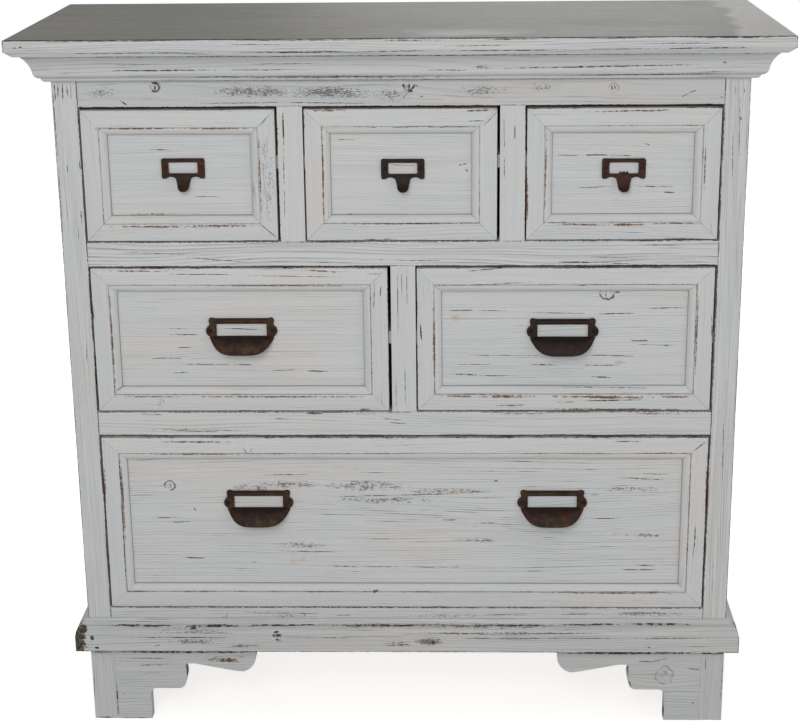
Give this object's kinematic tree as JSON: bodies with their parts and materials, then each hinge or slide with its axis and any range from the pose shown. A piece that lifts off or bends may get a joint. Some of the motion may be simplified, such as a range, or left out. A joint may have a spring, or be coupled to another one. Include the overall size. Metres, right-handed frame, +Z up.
{
  "type": "chest of drawers",
  "caption": "Floor-standing chest of drawers in distressed grey-white painted wood, with framed drawer fronts, label-window pulls, a cornice and scrolled bracket feet.",
  "frame": {"origin": "on the floor, under the middle of the whole chest", "axes": "+X to the viewer's right, drawers open towards -Y, +Z up"},
  "size_m": [1.045, 0.432, 1.0268],
  "materials": {
    "worn_paint": "matt, worn paint",
    "top_paint": "matt, worn paint",
    "bare_pine": "bare",
    "dark_iron": "rusty, waxed"
  },
  "bodies": {
    "carcass": {"back_boards": "bare_pine", "back_left_post": "worn_paint", "back_rails": "bare_pine", "back_right_post": "worn_paint", "bearers": "bare_pine", "bottom_panel": "bare_pine", "bottom_rail": "worn_paint", "dividers": "worn_paint", "frieze_rail": "worn_paint", "front_base_moulding": "worn_paint", "front_brackets": "worn_paint", "front_cornice": "worn_paint", "front_left_post": "worn_paint", "front_right_post": "worn_paint", "left_side_panel": "worn_paint", "middle_rail": "worn_paint", "right_side_panel": "worn_paint", "runner_strips": "worn_paint", "side_base_mouldings": "worn_paint", "side_brackets": "worn_paint", "side_cornices": "worn_paint", "side_rails": "worn_paint", "top_board": "top_paint", "upper_rail": "worn_paint"},
    "top_left_drawer": {"top_left_drawer_back": "bare_pine", "top_left_drawer_bottom": "bare_pine", "top_left_drawer_front_board": "worn_paint", "top_left_drawer_front_frame": "worn_paint", "top_left_drawer_pull": "dark_iron", "top_left_drawer_sides": "bare_pine"},
    "top_middle_drawer": {"top_middle_drawer_back": "bare_pine", "top_middle_drawer_bottom": "bare_pine", "top_middle_drawer_front_board": "worn_paint", "top_middle_drawer_front_frame": "worn_paint", "top_middle_drawer_pull": "dark_iron", "top_middle_drawer_sides": "bare_pine"},
    "top_right_drawer": {"top_right_drawer_back": "bare_pine", "top_right_drawer_bottom": "bare_pine", "top_right_drawer_front_board": "worn_paint", "top_right_drawer_front_frame": "worn_paint", "top_right_drawer_pull": "dark_iron", "top_right_drawer_sides": "bare_pine"},
    "middle_left_drawer": {"middle_left_drawer_back": "bare_pine", "middle_left_drawer_bottom": "bare_pine", "middle_left_drawer_front_board": "worn_paint", "middle_left_drawer_front_frame": "worn_paint", "middle_left_drawer_pull": "dark_iron", "middle_left_drawer_sides": "bare_pine"},
    "middle_right_drawer": {"middle_right_drawer_back": "bare_pine", "middle_right_drawer_bottom": "bare_pine", "middle_right_drawer_front_board": "worn_paint", "middle_right_drawer_front_frame": "worn_paint", "middle_right_drawer_pull": "dark_iron", "middle_right_drawer_sides": "bare_pine"},
    "bottom_drawer": {"bottom_drawer_back": "bare_pine", "bottom_drawer_bottom": "bare_pine", "bottom_drawer_front_board": "worn_paint", "bottom_drawer_front_frame": "worn_paint", "bottom_drawer_pulls": "dark_iron", "bottom_drawer_sides": "bare_pine"}
  },
  "joints": [
    {"name": "top_left_drawer_slide", "type": "slide", "parent": "carcass", "child": "top_left_drawer", "axis": [0, -1, 0], "range_m": [0, 0.26]},
    {"name": "top_middle_drawer_slide", "type": "slide", "parent": "carcass", "child": "top_middle_drawer", "axis": [0, -1, 0], "range_m": [0, 0.26]},
    {"name": "top_right_drawer_slide", "type": "slide", "parent": "carcass", "child": "top_right_drawer", "axis": [0, -1, 0], "range_m": [0, 0.26]},
    {"name": "middle_left_drawer_slide", "type": "slide", "parent": "carcass", "child": "middle_left_drawer", "axis": [0, -1, 0], "range_m": [0, 0.26]},
    {"name": "middle_right_drawer_slide", "type": "slide", "parent": "carcass", "child": "middle_right_drawer", "axis": [0, -1, 0], "range_m": [0, 0.26]},
    {"name": "bottom_drawer_slide", "type": "slide", "parent": "carcass", "child": "bottom_drawer", "axis": [0, -1, 0], "range_m": [0, 0.26]}
  ]
}
